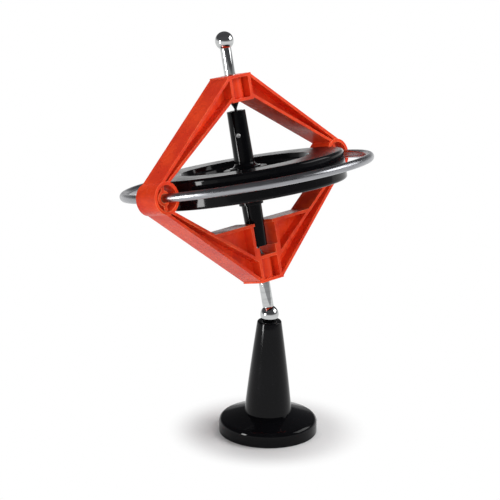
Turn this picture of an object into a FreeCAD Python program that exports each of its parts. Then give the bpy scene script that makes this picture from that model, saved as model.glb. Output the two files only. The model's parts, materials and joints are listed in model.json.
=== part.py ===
import FreeCAD, Part
import math
import os

# Gyroscope on its stand, in millimetres.
# +Z is up, the origin is on the table at the axis of the stand, the gyroscope leans towards +Y.
# The gyroscope is built upright about its own centre (spin axis on Z, faces of the frame towards
# -Y and +Y) and then set on the stand: turned about its axis, leaned and lifted.

# ---- stand -------------------------------------------------------------------------------------
BASE_RADIUS = 16.1
BASE_EDGE_HEIGHT = 4.65
BASE_RISE = 2.5                 # rise of the base's upper face, from its edge to the column
BASE_EDGE_ROUND = 1.2
COLUMN_FOOT_RADIUS = 7.75
COLUMN_TOP_RADIUS = 3.9
COLUMN_HEIGHT = 31.05           # from the top of the base to the rim of the cup
COLUMN_BELLY = 0.15             # how far the middle of the column's side stands out
COLUMN_RIM_ROUND = 0.45
SPIGOT_RADIUS = 5.0
SPIGOT_LENGTH = 3.8
SPIGOT_END_GAP = 0.2            # room for glue under the spigot
BALL_ABOVE_RIM = 2.15           # centre of the lower ball above the rim of the cup

# ---- balls, rods and pivot points --------------------------------------------------------------
BALL_RADIUS = 3.0
ROD_RADIUS = 1.8
ROD_SHOWN = 8.2                 # bare rod between a block of the frame and its ball
PIVOT_STUB_LENGTH = 2.2
PIVOT_CONE_RADIUS = 1.5
PIVOT_CONE_LENGTH = 2.1
NEEDLE_RADIUS = 0.45
NEEDLE_REACH = 2.0              # how far a needle reaches into the end of the shaft
NEEDLE_TIP_LENGTH = 0.8

# ---- frame moulding ----------------------------------------------------------------------------
FRAME_HALF_DEPTH = 4.15
WALL = 1.2                      # walls, posts and webs
FLANGE = 1.0                    # flanges of the arms, plates of the blocks and the shelves
BLOCK_HALF_WIDTH = 4.85
BLOCK_HEIGHT = 8.6
PLATE_OVERHANG = 0.45           # outer plate of a block, past the block's sides
BOSS_RADIUS = 3.2
SHAFT_TO_BLOCK = 2.8            # gap between an end of the shaft and the block
INNER_FLANGE_RISE = 0.5         # start of the inner flange above the block's inner plate
ARM_ROOT = 0.8                  # length of an arm's end that is buried in the block
HUB_RADIUS = 5.2
HUB_HALF_LENGTH = 4.3
HUB_BORE_RADIUS = 4.1
HUB_RISE = 0.8                  # hubs and ring above the middle of the rotor
OUTER_FLANGE_INSET = 0.4        # outer flange inside the hub's tangent
INNER_FLANGE_OFFSET = 2.6       # inner flange from the hub's centre
GUSSET_HEIGHT = 10.7            # shelf of the gusset above the lower block
GUSSET_STEP = 2.7               # top of the block's side walls above its inner plate
SHELF_OVERHANG = 0.75           # shelf past the post, towards the shaft

# ---- ring --------------------------------------------------------------------------------------
RING_WIRE_RADIUS = 1.4
GRIP_SLEEVE_RADIUS = 2.5
GRIP_HALF_LENGTH = 3.0
GRIP_RIB = 1.4

# ---- rotor -------------------------------------------------------------------------------------
ROTOR_RADIUS = 32.0
ROTOR_HALF_HEIGHT = 4.75
ROTOR_TO_HUB = 2.8              # running gap between the rotor's rim and the hubs
RIM_WIDTH = 11.2                # flat face of the rim
RIM_EDGE_ROUND = 0.9
STEP_DROP = 1.6                 # first step inside the rim, below the rim's face
STEP_WIDTH = 2.6
WEB_HALF_THICKNESS = 1.3
BOSS_FACE_DROP = 1.2            # hub of the rotor, below the rim's face
ROTOR_BOSS_RADIUS = 7.0
DRAFT = 0.5                     # slope of the step's walls
RIM_WALL = 1.5                  # plastic outside the weight ring
CHANNEL_WIDTH = 6.0
CHANNEL_ROOF = 1.4              # plastic above the weight ring
COVER_THICKNESS = 1.2
WEIGHT_CLEARANCE = 0.1
SHAFT_HALF_LENGTH = 22.1
SHAFT_END_RADIUS = 3.0
SHAFT_RADIUS = 3.25
SHAFT_FOOT_LAND = 0.4           # thickness of the foot's edge, and its width past the round
SHAFT_FOOT_ROUND = 1.4
COLLAR_RADIUS = 3.95
COLLAR_LENGTH = 5.0
CUP_RADIUS = 2.0
CUP_LENGTH = 2.8
CUP_RECESS = 0.6
STRING_HOLE_RADIUS = 0.7
STRING_HOLE_FROM_END = 7.9
STRING_HOLE_TURN = -146.0       # degrees about the spin axis, from the frame's own +X

# ---- fits --------------------------------------------------------------------------------------
SEAT_CLEARANCE = 0.05           # ball in its cup, and rod end on the lower ball
NEEDLE_CLEARANCE = 0.05

# ---- pose on the stand -------------------------------------------------------------------------
REST_LEAN = 14.3                # degrees from upright, towards +Y
FRAME_TURN = 2.1                # degrees, frame about the spin axis

# ---- places that follow from the sizes ---------------------------------------------------------
base_top = BASE_EDGE_HEIGHT + BASE_RISE
rim_height = base_top + COLUMN_HEIGHT
ball_height = rim_height + BALL_ABOVE_RIM
block_inner = SHAFT_HALF_LENGTH + SHAFT_TO_BLOCK
block_outer = block_inner + BLOCK_HEIGHT
rod_start = block_inner + PIVOT_STUB_LENGTH
ball_reach = block_outer + ROD_SHOWN + BALL_RADIUS
ring_radius = ROTOR_RADIUS + ROTOR_TO_HUB + HUB_RADIUS
needle_tip = SHAFT_HALF_LENGTH - NEEDLE_REACH
wall_inner = BLOCK_HALF_WIDTH - WALL
shelf_top = block_inner - GUSSET_HEIGHT
rim_inner_radius = ROTOR_RADIUS - RIM_WIDTH
channel_outer_radius = ROTOR_RADIUS - RIM_WALL
channel_inner_radius = channel_outer_radius - CHANNEL_WIDTH
rotor_face = ROTOR_HALF_HEIGHT - BOSS_FACE_DROP
string_hole_height = SHAFT_HALF_LENGTH - STRING_HOLE_FROM_END

ORIGIN = FreeCAD.Vector(0, 0, 0)
UP = FreeCAD.Vector(0, 0, 1)
ALONG_X = FreeCAD.Vector(1, 0, 0)
ALONG_Y = FreeCAD.Vector(0, 1, 0)
FULL_TURN = 360
LOWER_END = -1                  # end of the spin axis that stands on the column
OVERLAP = 0.4                   # how far walls of one moulding run into each other
PAST_FACE = 1.0                 # how far a cut runs past the face that it opens
SAME = 1e-4                     # sizes closer than this are the same


# ---- helpers -----------------------------------------------------------------------------------
def corners_of(outline):
    """Points in the XZ plane from (radius, height) pairs."""
    return [FreeCAD.Vector(radius, 0, height) for radius, height in outline]


def revolve(outline):
    """Solid of revolution about Z. The outline lists (radius, height) corners of a closed shape."""
    corners = corners_of(outline)
    face = Part.Face(Part.makePolygon(corners + corners[:1]))
    return face.revolve(ORIGIN, UP, FULL_TURN)


def cylinder(radius, low, high):
    """Cylinder on Z between two heights."""
    return Part.makeCylinder(radius, high - low, FreeCAD.Vector(0, 0, low), UP)


def cross_cylinder(radius, half_length, centre_x):
    """Cylinder along Y at the height of the hubs."""
    start = FreeCAD.Vector(centre_x, -half_length, HUB_RISE)
    return Part.makeCylinder(radius, 2 * half_length, start, ALONG_Y)


def plate(outline, half_depth):
    """Flat prism: an outline of (x, z) corners, carried from -half_depth to +half_depth along Y."""
    corners = [FreeCAD.Vector(x, -half_depth, z) for x, z in outline]
    face = Part.Face(Part.makePolygon(corners + corners[:1]))
    return face.extrude(ALONG_Y * (2 * half_depth))


def box(low_x, high_x, low_z, high_z, half_depth):
    """Upright block of the frame, by its X and Z limits."""
    return plate([(low_x, low_z), (high_x, low_z), (high_x, high_z), (low_x, high_z)], half_depth)


def joined(shapes):
    """One clean solid from overlapping shapes."""
    return shapes[0].multiFuse(shapes[1:]).removeSplitter()


def round_circles(shape, radius, wanted_radius, height):
    """Round the circular edges of a given radius and height."""
    edges = []
    for edge in shape.Edges:
        if not isinstance(edge.Curve, Part.Circle):
            continue
        same_radius = abs(edge.Curve.Radius - wanted_radius) < SAME
        same_height = abs(edge.Curve.Center.z - height) < SAME
        if same_radius and same_height:
            edges.append(edge)
    return shape.makeFillet(radius, edges)


def upside_down(shape):
    """The same shape for the other end of the spin axis."""
    turned = shape.copy()
    turned.rotate(ORIGIN, ALONG_X, FULL_TURN / 2)
    return turned


def on_stand(shape):
    """Set a piece of the gyroscope, built about the gyroscope's centre, in its place on the stand."""
    placed = shape.copy()
    placed.translate(FreeCAD.Vector(0, 0, ball_reach))
    placed.rotate(ORIGIN, UP, FRAME_TURN)
    placed.rotate(ORIGIN, ALONG_X, -REST_LEAN)
    placed.translate(FreeCAD.Vector(0, 0, ball_height))
    return placed


# ---- stand -------------------------------------------------------------------------------------
def stand_base():
    """Round foot, its upper face rising to the column, with a socket for the column."""
    foot = revolve([
        (0, 0),
        (BASE_RADIUS, 0),
        (BASE_RADIUS, BASE_EDGE_HEIGHT),
        (COLUMN_FOOT_RADIUS, base_top),
        (0, base_top),
    ])
    foot = round_circles(foot, BASE_EDGE_ROUND, BASE_RADIUS, BASE_EDGE_HEIGHT)
    socket_floor = base_top - SPIGOT_LENGTH - SPIGOT_END_GAP
    return foot.cut(cylinder(SPIGOT_RADIUS, socket_floor, base_top))


def stand_column():
    """Tapered column with a slight belly: a spigot below, and a cup for the ball at the top."""
    corners = corners_of([
        (COLUMN_TOP_RADIUS, rim_height),
        (0, rim_height),
        (0, base_top - SPIGOT_LENGTH),
        (SPIGOT_RADIUS, base_top - SPIGOT_LENGTH),
        (SPIGOT_RADIUS, base_top),
        (COLUMN_FOOT_RADIUS, base_top),
    ])
    top, foot = corners[0], corners[-1]
    belly = (top + foot) * 0.5 + ALONG_X * COLUMN_BELLY
    side = Part.Arc(foot, belly, top).toShape()
    face = Part.Face(Part.Wire(Part.makePolygon(corners).Edges + [side]))
    column = face.revolve(ORIGIN, UP, FULL_TURN)
    column = round_circles(column, COLUMN_RIM_ROUND, COLUMN_TOP_RADIUS, rim_height)
    seat = Part.makeSphere(BALL_RADIUS + SEAT_CLEARANCE, FreeCAD.Vector(0, 0, ball_height))
    return column.cut(seat)


# ---- frame moulding ----------------------------------------------------------------------------
def tangent_point(start, radius, hub_height):
    """Where a line from start touches a circle about the hub's centre, on the outer side."""
    across = start[0] - ring_radius
    rise = start[1] - hub_height
    turn = math.atan2(rise, across) - math.acos(radius / math.hypot(across, rise))
    return (ring_radius + radius * math.cos(turn), hub_height + radius * math.sin(turn))


def offset_line(start, end, distance):
    """A line moved sideways by distance, away from the gyroscope's centre when positive."""
    run = end[0] - start[0]
    fall = end[1] - start[1]
    length = math.hypot(run, fall)
    shift = (-fall / length * distance, run / length * distance)
    moved_start = (start[0] + shift[0], start[1] + shift[1])
    moved_end = (end[0] + shift[0], end[1] + shift[1])
    return moved_start, moved_end


def rooted(start, end):
    """A line to the hub with its start drawn back into the block, so that the arm's end is buried."""
    run = end[0] - start[0]
    fall = end[1] - start[1]
    share = ARM_ROOT / math.hypot(run, fall)
    return (start[0] - share * run, start[1] - share * fall), end


def outer_line(end):
    """Outer face of an arm, from the block's outer plate to the hub, heights counted towards its end."""
    start = (BLOCK_HALF_WIDTH + PLATE_OVERHANG, block_outer - FLANGE / 2)
    return rooted(start, tangent_point(start, HUB_RADIUS - OUTER_FLANGE_INSET, end * HUB_RISE))


def inner_line(end):
    """Face of an arm towards the window of the frame, heights counted as in outer_line."""
    start = (BLOCK_HALF_WIDTH, block_inner + INNER_FLANGE_RISE)
    return rooted(start, tangent_point(start, INNER_FLANGE_OFFSET, end * HUB_RISE))


def inner_line_x(height):
    """Where the window face of a lower arm lies at a height."""
    start, end = inner_line(LOWER_END)
    share = (start[1] - height) / (start[1] - end[1])
    return start[0] + share * (end[0] - start[0])


def in_quarter(outline, side, end):
    """The same outline in another quarter of the frame."""
    return [(side * x, end * z) for x, z in outline]


def arm(side, end):
    """I-section arm from a block to a hub, narrowing towards the hub."""
    outer_start, outer_end = outer_line(end)
    inner_start, inner_end = inner_line(end)
    low_start, low_end = offset_line(outer_start, outer_end, -FLANGE)
    high_start, high_end = offset_line(inner_start, inner_end, FLANGE)
    outer_flange = [outer_start, outer_end, low_end, low_start]
    inner_flange = [inner_start, inner_end, high_end, high_start]
    web = [low_start, outer_end, inner_end, inner_start]
    return [
        plate(in_quarter(outer_flange, side, end), FRAME_HALF_DEPTH),
        plate(in_quarter(inner_flange, side, end), FRAME_HALF_DEPTH),
        plate(in_quarter(web, side, end), WALL / 2),
    ]


def block(end):
    """Open-fronted block that carries a rod: two plates, two side walls, a web and a boss."""
    low, high = sorted((end * block_inner, end * block_outer))
    outer_low, outer_high = sorted((end * (block_outer - FLANGE), end * block_outer))
    inner_low, inner_high = sorted((end * block_inner, end * (block_inner + FLANGE)))
    plate_half = BLOCK_HALF_WIDTH + PLATE_OVERHANG
    return [
        box(-plate_half, plate_half, outer_low, outer_high, FRAME_HALF_DEPTH),
        box(-BLOCK_HALF_WIDTH, BLOCK_HALF_WIDTH, inner_low, inner_high, FRAME_HALF_DEPTH),
        box(-BLOCK_HALF_WIDTH, -wall_inner, low, high, FRAME_HALF_DEPTH),
        box(wall_inner, BLOCK_HALF_WIDTH, low, high, FRAME_HALF_DEPTH),
        box(-BLOCK_HALF_WIDTH, BLOCK_HALF_WIDTH, low, high, WALL / 2),
        cylinder(BOSS_RADIUS, low, high),
    ]


def inner_flange_height(x):
    """Height of a lower arm's window face at a distance from the spin axis, plus a little overlap."""
    start, end = inner_line(LOWER_END)
    share = (x - start[0]) / (end[0] - start[0])
    return start[1] + share * (end[1] - start[1]) + OVERLAP


def gusset(side):
    """Stiffener beside the shaft in the lower corner: shelf, post, web and the block's raised wall."""
    shelf_end = BLOCK_HALF_WIDTH - SHELF_OVERHANG
    shelf_low = shelf_top + FLANGE
    step_top = block_inner - GUSSET_STEP
    post_foot = block_inner + INNER_FLANGE_RISE
    post_outer = BLOCK_HALF_WIDTH + WALL
    shelf = [
        (shelf_end, shelf_top),
        (inner_line_x(shelf_top) + OVERLAP, shelf_top),
        (inner_line_x(shelf_low) + OVERLAP, shelf_low),
        (shelf_end, shelf_low),
    ]
    post = [
        (BLOCK_HALF_WIDTH, shelf_top),
        (post_outer, shelf_top),
        (post_outer, inner_flange_height(post_outer)),
        (BLOCK_HALF_WIDTH, post_foot),
    ]
    raised_wall = [
        (wall_inner, step_top),
        (post_outer, step_top),
        (post_outer, inner_flange_height(post_outer)),
        (BLOCK_HALF_WIDTH, post_foot),
        (wall_inner, post_foot),
    ]
    web = [
        (BLOCK_HALF_WIDTH, shelf_top),
        (inner_line_x(shelf_top) + OVERLAP, shelf_top),
        (BLOCK_HALF_WIDTH + OVERLAP, post_foot),
        (BLOCK_HALF_WIDTH, post_foot),
    ]
    return [
        plate(in_quarter(shelf, side, LOWER_END), FRAME_HALF_DEPTH),
        plate(in_quarter(post, side, LOWER_END), FRAME_HALF_DEPTH),
        plate(in_quarter(raised_wall, side, LOWER_END), FRAME_HALF_DEPTH),
        plate(in_quarter(web, side, LOWER_END), WALL / 2),
    ]


def gyro_frame():
    """Diamond frame: two blocks, four arms, two hubs and the gusset of the lower corner."""
    shapes = []
    for end in (1, -1):
        shapes += block(end)
        for side in (1, -1):
            shapes += arm(side, end)
    for side in (1, -1):
        shapes += gusset(side)
        shapes.append(cross_cylinder(HUB_RADIUS, HUB_HALF_LENGTH, side * ring_radius))
    frame = joined(shapes)
    for side in (1, -1):
        frame = frame.cut(cross_cylinder(HUB_BORE_RADIUS, HUB_HALF_LENGTH + PAST_FACE, side * ring_radius))
    rod_bore_end = block_outer + PAST_FACE
    return frame.cut(cylinder(ROD_RADIUS, -rod_bore_end, rod_bore_end))


# ---- ring --------------------------------------------------------------------------------------
def outer_ring():
    """Round wire bent into a full circle through both hubs."""
    return Part.makeTorus(ring_radius, RING_WIRE_RADIUS, FreeCAD.Vector(0, 0, HUB_RISE))


def ring_grip(side):
    """Ribbed sleeve in a hub's bore that holds the ring wire in the middle of the bore."""
    centre_x = side * ring_radius
    rib_left = centre_x - GRIP_RIB / 2
    rib_right = centre_x + GRIP_RIB / 2
    sleeve = cross_cylinder(GRIP_SLEEVE_RADIUS, GRIP_HALF_LENGTH, centre_x)
    rib_low = HUB_RISE - HUB_BORE_RADIUS
    rib_high = HUB_RISE + HUB_BORE_RADIUS
    rib = box(rib_left, rib_right, rib_low, rib_high, GRIP_HALF_LENGTH)
    rib = rib.common(cross_cylinder(HUB_BORE_RADIUS, GRIP_HALF_LENGTH, centre_x))
    return sleeve.fuse(rib).removeSplitter().cut(outer_ring())


# ---- balls, rods and pivot points --------------------------------------------------------------
def end_ball():
    """Ball on the end of the upper rod."""
    return Part.makeSphere(BALL_RADIUS, FreeCAD.Vector(0, 0, ball_reach))


def rod(end_clearance):
    """Rod from inside the block up to the ball, with its end hollowed to the ball's curve."""
    bar = cylinder(ROD_RADIUS, rod_start, ball_reach)
    ball = Part.makeSphere(BALL_RADIUS + end_clearance, FreeCAD.Vector(0, 0, ball_reach))
    return bar.cut(ball)


def pivot_point():
    """Pointed pin that stands out of a block and carries one end of the shaft."""
    cone_end = block_inner - PIVOT_CONE_LENGTH
    return revolve([
        (0, rod_start),
        (ROD_RADIUS, rod_start),
        (ROD_RADIUS, block_inner),
        (PIVOT_CONE_RADIUS, block_inner),
        (NEEDLE_RADIUS, cone_end),
        (NEEDLE_RADIUS, needle_tip + NEEDLE_TIP_LENGTH),
        (0, needle_tip),
    ])


# ---- rotor -------------------------------------------------------------------------------------
def rotor_half_outline():
    """Upper face of the rotor's body, from the bore outwards, as (radius, height) corners."""
    step_face = ROTOR_HALF_HEIGHT - STEP_DROP
    step_edge = rim_inner_radius - STEP_WIDTH
    return [
        (SHAFT_RADIUS, rotor_face),
        (ROTOR_BOSS_RADIUS, rotor_face),
        (ROTOR_BOSS_RADIUS + DRAFT, WEB_HALF_THICKNESS),
        (step_edge - DRAFT, WEB_HALF_THICKNESS),
        (step_edge, step_face),
        (rim_inner_radius - DRAFT, step_face),
        (rim_inner_radius, ROTOR_HALF_HEIGHT),
        (ROTOR_RADIUS, ROTOR_HALF_HEIGHT),
    ]


def rotor_body():
    """Wheel of the rotor, with a channel for the weight ring open on its lower side."""
    upper = rotor_half_outline()
    lower = [(radius, -height) for radius, height in reversed(upper)]
    body = revolve(upper + lower)
    for face_height in (ROTOR_HALF_HEIGHT, -ROTOR_HALF_HEIGHT):
        body = round_circles(body, RIM_EDGE_ROUND, ROTOR_RADIUS, face_height)
    return body.cut(channel(-ROTOR_HALF_HEIGHT, 0))


def channel(low, clearance):
    """Ring-shaped space of the weight, from a height up to the channel's roof."""
    roof = ROTOR_HALF_HEIGHT - CHANNEL_ROOF - clearance
    inner = channel_inner_radius + clearance
    outer = channel_outer_radius - clearance
    return revolve([(inner, low), (outer, low), (outer, roof), (inner, roof)])


def rotor_weight_ring():
    """Metal ring sealed in the rim."""
    return channel(COVER_THICKNESS + WEIGHT_CLEARANCE - ROTOR_HALF_HEIGHT, WEIGHT_CLEARANCE)


def rotor_cover_ring():
    """Flat ring that closes the channel, flush with the rim's lower face."""
    low = -ROTOR_HALF_HEIGHT
    high = low + COVER_THICKNESS
    return revolve([
        (channel_inner_radius, low),
        (channel_outer_radius, low),
        (channel_outer_radius, high),
        (channel_inner_radius, high),
    ])


def rotor_shaft():
    """Shaft through the rotor, with a flared foot above it, cup seats in its ends and a string hole."""
    collar_end = -rotor_face - COLLAR_LENGTH
    foot_radius = SHAFT_RADIUS + SHAFT_FOOT_ROUND + SHAFT_FOOT_LAND
    foot_face = rotor_face + SHAFT_FOOT_LAND
    taper_start = foot_face + SHAFT_FOOT_ROUND + SHAFT_FOOT_LAND
    shaft = revolve([
        (0, -SHAFT_HALF_LENGTH),
        (SHAFT_END_RADIUS, -SHAFT_HALF_LENGTH),
        (SHAFT_RADIUS, collar_end),
        (SHAFT_RADIUS, rotor_face),
        (foot_radius, rotor_face),
        (foot_radius, foot_face),
        (SHAFT_RADIUS, foot_face),
        (SHAFT_RADIUS, taper_start),
        (SHAFT_END_RADIUS, SHAFT_HALF_LENGTH),
        (0, SHAFT_HALF_LENGTH),
    ])
    shaft = round_circles(shaft, SHAFT_FOOT_ROUND, SHAFT_RADIUS, foot_face)
    seat_floor = SHAFT_HALF_LENGTH - CUP_RECESS - CUP_LENGTH
    seat = cylinder(CUP_RADIUS, seat_floor, SHAFT_HALF_LENGTH + PAST_FACE)
    return shaft.cut(seat).cut(upside_down(seat)).cut(string_hole())


def string_hole():
    """Drilling across the upper half of the shaft for the pull string."""
    half_length = SHAFT_RADIUS + PAST_FACE
    start = FreeCAD.Vector(-half_length, 0, string_hole_height)
    drill = Part.makeCylinder(STRING_HOLE_RADIUS, 2 * half_length, start, ALONG_X)
    drill.rotate(ORIGIN, UP, STRING_HOLE_TURN)
    return drill


def rotor_collar():
    """Collar pressed on the shaft under the rotor."""
    high = -rotor_face
    low = high - COLLAR_LENGTH
    return cylinder(COLLAR_RADIUS, low, high).cut(cylinder(SHAFT_RADIUS, low, high))


def bearing_cup():
    """Bush in the end of the shaft, drilled to a conical floor for the needle."""
    mouth = SHAFT_HALF_LENGTH - CUP_RECESS
    hole_radius = NEEDLE_RADIUS + NEEDLE_CLEARANCE
    cone_top = needle_tip + NEEDLE_TIP_LENGTH
    return revolve([
        (0, mouth - CUP_LENGTH),
        (CUP_RADIUS, mouth - CUP_LENGTH),
        (CUP_RADIUS, mouth),
        (hole_radius, mouth),
        (hole_radius, cone_top),
        (0, needle_tip - NEEDLE_CLEARANCE),
    ])


# ---- all pieces --------------------------------------------------------------------------------
def pieces():
    """Every piece by its name, in its place on the stand."""
    gyroscope = {
        "lower_ball": upside_down(end_ball()),
        "gyro_frame": gyro_frame(),
        "outer_ring": outer_ring(),
        "left_ring_grip": ring_grip(-1),
        "right_ring_grip": ring_grip(1),
        "upper_ball": end_ball(),
        "upper_rod": rod(0),
        "lower_rod": upside_down(rod(SEAT_CLEARANCE)),
        "upper_pivot_point": pivot_point(),
        "lower_pivot_point": upside_down(pivot_point()),
        "rotor_body": rotor_body(),
        "rotor_weight_ring": rotor_weight_ring(),
        "rotor_cover_ring": rotor_cover_ring(),
        "rotor_shaft": rotor_shaft(),
        "rotor_collar": rotor_collar(),
        "upper_bearing_cup": bearing_cup(),
        "lower_bearing_cup": upside_down(bearing_cup()),
    }
    nodes = {"stand_base": stand_base(), "stand_column": stand_column()}
    for name, shape in gyroscope.items():
        nodes[name] = on_stand(shape)
    return nodes


def main():
    """Write one STEP file for each node."""
    os.makedirs("parts", exist_ok=True)
    for name, shape in pieces().items():
        shape.exportStep("parts/" + name + ".step")


main()
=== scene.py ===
import json
import math

import bmesh
import bpy
from mathutils import Euler, Matrix, Vector

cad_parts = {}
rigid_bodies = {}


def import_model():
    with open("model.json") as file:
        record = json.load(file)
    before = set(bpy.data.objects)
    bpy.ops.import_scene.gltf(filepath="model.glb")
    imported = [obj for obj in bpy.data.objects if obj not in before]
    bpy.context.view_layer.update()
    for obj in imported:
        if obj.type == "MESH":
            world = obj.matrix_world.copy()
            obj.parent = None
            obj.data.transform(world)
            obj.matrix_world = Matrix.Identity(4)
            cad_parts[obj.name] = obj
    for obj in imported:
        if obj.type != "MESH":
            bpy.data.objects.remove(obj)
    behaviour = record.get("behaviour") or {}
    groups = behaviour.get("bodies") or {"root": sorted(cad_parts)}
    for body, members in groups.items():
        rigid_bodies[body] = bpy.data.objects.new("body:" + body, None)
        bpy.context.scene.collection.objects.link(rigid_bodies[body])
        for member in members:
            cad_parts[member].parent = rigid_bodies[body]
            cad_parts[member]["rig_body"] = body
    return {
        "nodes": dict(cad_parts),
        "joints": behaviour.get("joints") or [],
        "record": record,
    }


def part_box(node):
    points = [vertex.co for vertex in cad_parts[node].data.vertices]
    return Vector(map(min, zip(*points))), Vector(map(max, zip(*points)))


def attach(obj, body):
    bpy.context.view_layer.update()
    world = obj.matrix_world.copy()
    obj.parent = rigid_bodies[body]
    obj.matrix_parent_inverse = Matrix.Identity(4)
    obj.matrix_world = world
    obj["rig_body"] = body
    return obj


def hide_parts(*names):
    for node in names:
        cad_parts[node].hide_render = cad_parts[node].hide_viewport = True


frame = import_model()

bl_info = {
    "name": "Gyroscope on stand",
    "version": (1, 0, 0),
    "blender": (4, 5, 0),
    "location": "3D View > Sidebar > Gyroscope",
    "description": "Dresses the gyroscope and its stand, and sets up the studio",
    "category": "Add Mesh",
}

MM = 0.001
FULL_TURN = 2 * math.pi
UP = Vector((0, 0, 1))
ORIGIN = Vector((0, 0, 0))
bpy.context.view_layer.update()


# ---- the gyroscope's own space ------------------------------------------------------------------
# Pieces of the gyroscope are modelled upright about the rotor's centre: the spin axis on Z, the two
# hubs of the frame on X. GYRO puts that space in its place on the stand.
def middle(node):
    """Centre of a node's box."""
    low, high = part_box(node)
    return (low + high) / 2


def gyro_space():
    """Matrix from the gyroscope's own space to its place on the stand."""
    spin = next(joint for joint in frame["joints"] if joint["name"] == "rotor_spin")
    z_axis = Vector(spin["axis"]).normalized()
    hub_line = middle("right_ring_grip") - middle("left_ring_grip")
    x_axis = (hub_line - hub_line.dot(z_axis) * z_axis).normalized()
    y_axis = z_axis.cross(x_axis)
    turn = Matrix((x_axis, y_axis, z_axis)).transposed().to_4x4()
    return Matrix.Translation(Vector(spin["pos_m"])) @ turn


GYRO = gyro_space()
STAND = Matrix.Identity(4)


def reach(node, space):
    """Lowest height, highest height and largest radius of a node, about the Z axis of a space."""
    inverse = space.inverted()
    points = [inverse @ vertex.co for vertex in frame["nodes"][node].data.vertices]
    heights = [point.z for point in points]
    return min(heights), max(heights), max(point.xy.length for point in points)


# ---- sizes that the frame gives -----------------------------------------------------------------
base_low, base_high, base_radius = reach("stand_base", STAND)
spigot_low, rim_height, foot_radius = reach("stand_column", STAND)
ball_low, ball_high, ball_radius = reach("upper_ball", GYRO)
rod_low, _, rod_radius = reach("upper_rod", GYRO)
needle_low, pivot_high, pivot_radius = reach("upper_pivot_point", GYRO)
rotor_low, rotor_high, rotor_radius = reach("rotor_body", GYRO)
cover_low, cover_high, cover_radius = reach("rotor_cover_ring", GYRO)
shaft_low, shaft_high, shaft_foot_radius = reach("rotor_shaft", GYRO)
collar_low, collar_high, collar_radius = reach("rotor_collar", GYRO)
cup_low, cup_high, cup_radius = reach("upper_bearing_cup", GYRO)
wire_low, wire_high, wire_outside = reach("outer_ring", GYRO)

ball_centre = (ball_low + ball_high) / 2
lower_ball_height = middle("lower_ball").z
wire_radius = (wire_high - wire_low) / 2
ring_radius = wire_outside - wire_radius
ring_height = (wire_low + wire_high) / 2

# ---- sizes of hidden and small features ---------------------------------------------------------
SPIGOT_SHARE = 0.6              # radius of the column's spigot, of the radius of its foot
SEAT_CLEARANCE = 0.05 * MM      # round the lower ball in its cup
CHANNEL_WIDTH = 6.0 * MM        # channel for the weight ring
CHANNEL_ROOF = 1.4 * MM         # plastic between the channel and the rim's upper face
FOOT_LAND = 0.4 * MM            # flat band round the shaft's foot
STUB_LENGTH = 2.2 * MM          # part of a pivot point inside its block
CONE_LENGTH = 2.1 * MM
CONE_RADIUS = 1.5 * MM
NEEDLE_RADIUS = 0.45 * MM
NEEDLE_TIP_LENGTH = 0.8 * MM
CUP_HOLE_RADIUS = 0.5 * MM
NEEDLE_CLEARANCE = 0.05 * MM    # between a needle's tip and the floor of its cup
COUNTERSINK_DEPTH = 0.25 * MM   # start of the string hole's flare, inside the shaft's surface
COUNTERSINK_WIDTH = 0.6 * MM
COUNTERSINK_RISE = 0.45 * MM

# ---- studio -------------------------------------------------------------------------------------
FLOOR_RADIUS = 6.0
CLIP_START = 0.01
FLOOR_FADE = (0.019, 0.034)     # the floor turns white between these distances from the stand's axis
CEILING_START = (0.12, 0.20)    # heights of a view direction between walls and ceiling
LAMPS = (
    # name, degrees to the right of the camera, elevation, distance, width, height, radiance, shown on
    ("left_fill", -45, 9, 0.60, 0.50, 0.40, 2.5, "surfaces"),
    ("front_fill", 15, 14, 0.60, 0.40, 0.30, 2.6, "surfaces"),
    ("right_fill", 85, 46, 0.60, 0.50, 0.40, 4.8, "surfaces"),
    ("back_fill", 180, 55, 0.60, 0.50, 0.40, 3.5, "surfaces"),
    ("right_softbox", 98, 28, 0.60, 0.45, 0.28, 4.5, "reflections"),
    ("left_strip", -54, -1, 0.34, 0.068, 0.15, 30.0, "reflections"),
)


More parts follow.
